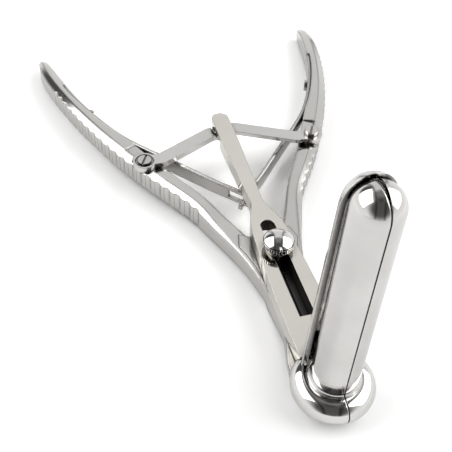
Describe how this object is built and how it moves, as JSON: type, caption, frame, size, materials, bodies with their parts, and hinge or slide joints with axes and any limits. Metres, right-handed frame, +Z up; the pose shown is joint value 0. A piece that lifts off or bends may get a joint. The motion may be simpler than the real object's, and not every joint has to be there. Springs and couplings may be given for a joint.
{
  "type": "three-blade rectal speculum",
  "caption": "Self-retaining surgical speculum with long handles, a slotted slide plate, a round collar and tube-forming blades that spread apart.",
  "frame": {"origin": "centre of the overall bounding box, at the level of the surface it lies on", "axes": "+Y from the blades towards the handle ends, +Z up, the direction that the blades stand in; X = 0 is the plane of symmetry"},
  "size_m": [0.1272, 0.21, 0.0845],
  "materials": {
    "satin_steel": "satin, fine matt grain",
    "polished_steel": "mirror polish"
  },
  "bodies": {
    "slide": {"slide_plate": "satin_steel", "rear_blade": "polished_steel", "link_rivet": "satin_steel"},
    "pivot": {"pivot_stud": "polished_steel", "nut_washer": "polished_steel"},
    "nut": {"thumb_nut": "polished_steel"},
    "lever_left": {"left_handle": "satin_steel", "left_blade": "polished_steel", "left_collar": "polished_steel", "left_spring": "satin_steel", "left_spring_screw": "polished_steel", "left_link_screw": "polished_steel"},
    "lever_right": {"right_handle": "satin_steel", "right_blade": "polished_steel", "right_collar": "polished_steel", "right_spring": "satin_steel", "right_spring_screw": "polished_steel", "right_link_screw": "polished_steel", "right_link_spacer": "satin_steel"},
    "link_left": {"left_link": "satin_steel"},
    "link_right": {"right_link": "satin_steel"}
  },
  "joints": [
    {"name": "pivot_slide", "type": "slide", "parent": "slide", "child": "pivot", "axis": [0, -0.9991, -0.0419], "range_m": [0, 0.02], "stiffness_N_per_m": 400},
    {"name": "left_lever_hinge", "type": "hinge", "parent": "pivot", "child": "lever_left", "pos_m": [0, -0.04284, 0.00592], "axis": [0, 0.0419, -0.9991], "range_deg": [0, 9], "deforming": ["left_spring"]},
    {"name": "right_lever_hinge", "type": "hinge", "parent": "pivot", "child": "lever_right", "pos_m": [0, -0.04267, 0.00192], "axis": [0, -0.0419, 0.9991], "range_deg": [0, 9], "deforming": ["right_spring"]},
    {"name": "left_link_hinge", "type": "hinge", "parent": "slide", "child": "link_left", "pos_m": [0, 0.02376, 0.01201], "axis": [0, -0.0419, 0.9991], "range_deg": [0, 29.9]},
    {"name": "right_link_hinge", "type": "hinge", "parent": "slide", "child": "link_right", "pos_m": [0, 0.0237, 0.01361], "axis": [0, 0.0419, -0.9991], "range_deg": [0, 29.9]},
    {"name": "thumb_nut_turn", "type": "hinge", "parent": "pivot", "child": "nut", "pos_m": [0, -0.0433, 0.01691], "axis": [0, -0.0419, 0.9991], "range_deg": [0, 360]}
  ],
  "couplings": [
    {"joint": "left_lever_hinge", "follows": "pivot_slide", "rad_per_m": 7.847},
    {"joint": "right_lever_hinge", "follows": "pivot_slide", "rad_per_m": 7.847},
    {"joint": "left_link_hinge", "follows": "pivot_slide", "rad_per_m": 26.03},
    {"joint": "right_link_hinge", "follows": "pivot_slide", "rad_per_m": 26.03}
  ]
}
